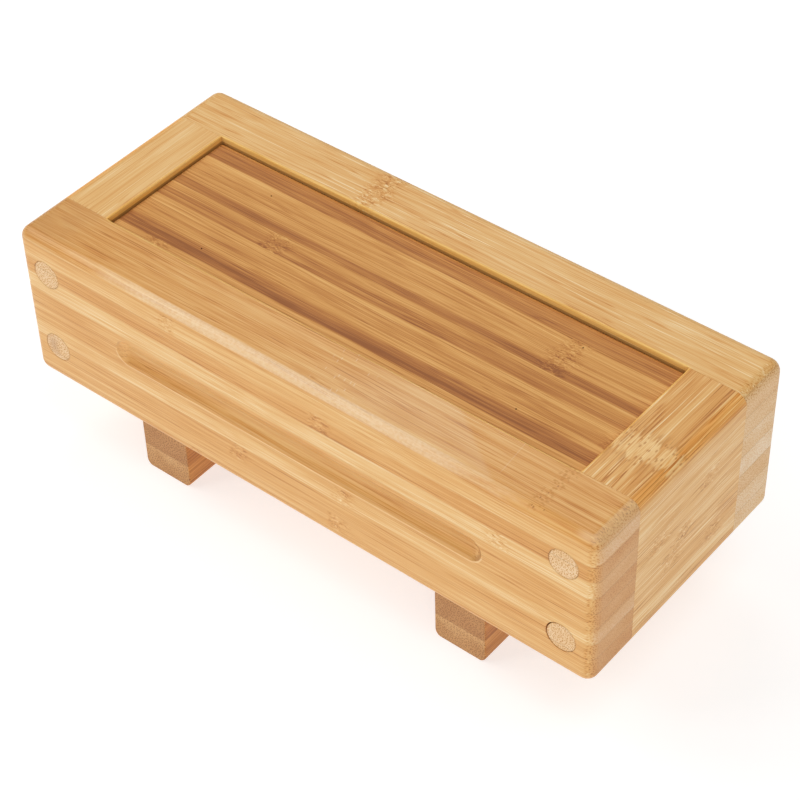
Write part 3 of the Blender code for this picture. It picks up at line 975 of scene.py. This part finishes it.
def pin(name, body, material):
    """A pin is a circle carried down along Z, with a slight crown on top and a blunt point."""
    shell = Shell()
    low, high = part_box(name)
    middle = (low + high) / 2
    profile = [(PIN_RADIUS * 0.45, high.z), (PIN_RADIUS * 0.85, high.z - PIN_CROWN),
               (PIN_RADIUS, high.z - 3 * PIN_CROWN), (PIN_RADIUS, low.z + PIN_RADIUS),
               (PIN_RADIUS * 0.4, low.z)]
    loops = []
    for radius, z in profile:
        u, v = ring(radius, count=16)
        points = np.stack([u + middle.x, v + middle.y, np.full_like(u, z)], axis=1)
        loops.append(shell.loop(points))
    shell.belt(loops)
    shell.fill(loops[0], [], [0, 1])
    shell.fill(loops[-1], [], [0, 1])
    return piece_of(shell, name + "_steel", material, body, "pin_steel", name)


pin_steel = steel()
for body in ("base", "press"):
    for hand in ("left", "right"):
        for face in ("front", "back"):
            pin(body + "_pin_" + hand + "_" + face, body, pin_steel)


# --------------------------------------------------------------------------------------- studio
# A white floor that glows faintly, as a lit table does, five soft boxes round and above the
# object, and a long lens looking down on its right front corner.

FLOOR_HALF = 6.0
CAMERA_AZIMUTH = math.radians(40.14)
CAMERA_ELEVATION = math.radians(43.46)
CAMERA_ROLL = math.radians(-1.74)
CAMERA_LENS = 104.0
CAMERA_DISTANCE = 0.6117
AIM_HEIGHT = 0.0453
AIM_RIGHT = 0.00294
AIM_UP = -0.00972


def plain(name, colour, glow):
    """A matt surface that also gives off some light of its own."""
    material = bpy.data.materials.new(name)
    material.use_nodes = True
    shader = material.node_tree.nodes["Principled BSDF"]
    shader.inputs["Base Color"].default_value = (*colour, 1.0)
    shader.inputs["Roughness"].default_value = 0.9
    shader.inputs["Emission Color"].default_value = (1.0, 1.0, 1.0, 1.0)
    shader.inputs["Emission Strength"].default_value = glow
    return material


sheet = bpy.data.meshes.new("floor")
corner = np.array([[-1, -1, 0], [1, -1, 0], [1, 1, 0], [-1, 1, 0]]) * FLOOR_HALF
sheet.from_pydata(corner.tolist(), [], [[0, 1, 2, 3]])
sheet.materials.append(plain("floor_white", (0.54, 0.54, 0.54), 0.62))
floor = bpy.data.objects.new("floor", sheet)
bpy.context.scene.collection.objects.link(floor)

world = bpy.data.worlds.new("studio")
world.use_nodes = True
world.node_tree.nodes["Background"].inputs["Color"].default_value = (1.0, 1.0, 1.0, 1.0)
world.node_tree.nodes["Background"].inputs["Strength"].default_value = 0.26
bpy.context.scene.world = world


def soft_box(name, place, width, height, power):
    """A rectangular soft box that faces the middle of the object."""
    lamp = bpy.data.lights.new(name, "AREA")
    lamp.shape = "RECTANGLE"
    lamp.size = width
    lamp.size_y = height
    lamp.energy = power
    light = bpy.data.objects.new(name, lamp)
    light.location = place
    aim = Vector((0, 0, AIM_HEIGHT)) - light.location
    light.rotation_euler = aim.to_track_quat("-Z", "Y").to_euler()
    bpy.context.scene.collection.objects.link(light)
    return light


soft_box("soft_box_left", (-0.95, -0.30, 0.95), 0.70, 0.70, 4.6)
soft_box("soft_box_behind", (-0.52, 0.70, 0.90), 0.40, 0.40, 1.8)
soft_box("soft_box_above", (0.45, 0.05, 1.25), 0.80, 0.80, 3.8)
soft_box("soft_box_front", (0.70, -1.00, 0.70), 0.80, 0.70, 4.0)
soft_box("soft_box_edge", (-0.63, -0.84, 0.90), 0.35, 0.35, 2.4)

lens = bpy.data.cameras.new("camera")
lens.lens = CAMERA_LENS
lens.sensor_width = 36.0
lens.clip_start = 0.01
camera = bpy.data.objects.new("camera", lens)
bpy.context.scene.collection.objects.link(camera)
back = Vector((math.sin(CAMERA_AZIMUTH) * math.cos(CAMERA_ELEVATION),
               -math.cos(CAMERA_AZIMUTH) * math.cos(CAMERA_ELEVATION),
               math.sin(CAMERA_ELEVATION)))
level = Vector((math.cos(CAMERA_AZIMUTH), math.sin(CAMERA_AZIMUTH), 0.0))
right = Matrix.Rotation(CAMERA_ROLL, 3, back) @ level
up = back.cross(right)
camera.location = (Vector((0, 0, AIM_HEIGHT)) + right * AIM_RIGHT + up * AIM_UP
                   + back * CAMERA_DISTANCE)
camera.rotation_euler = Matrix((right, up, back)).transposed().to_euler()
bpy.context.scene.camera = camera
bpy.context.scene.view_settings.view_transform = "Standard"
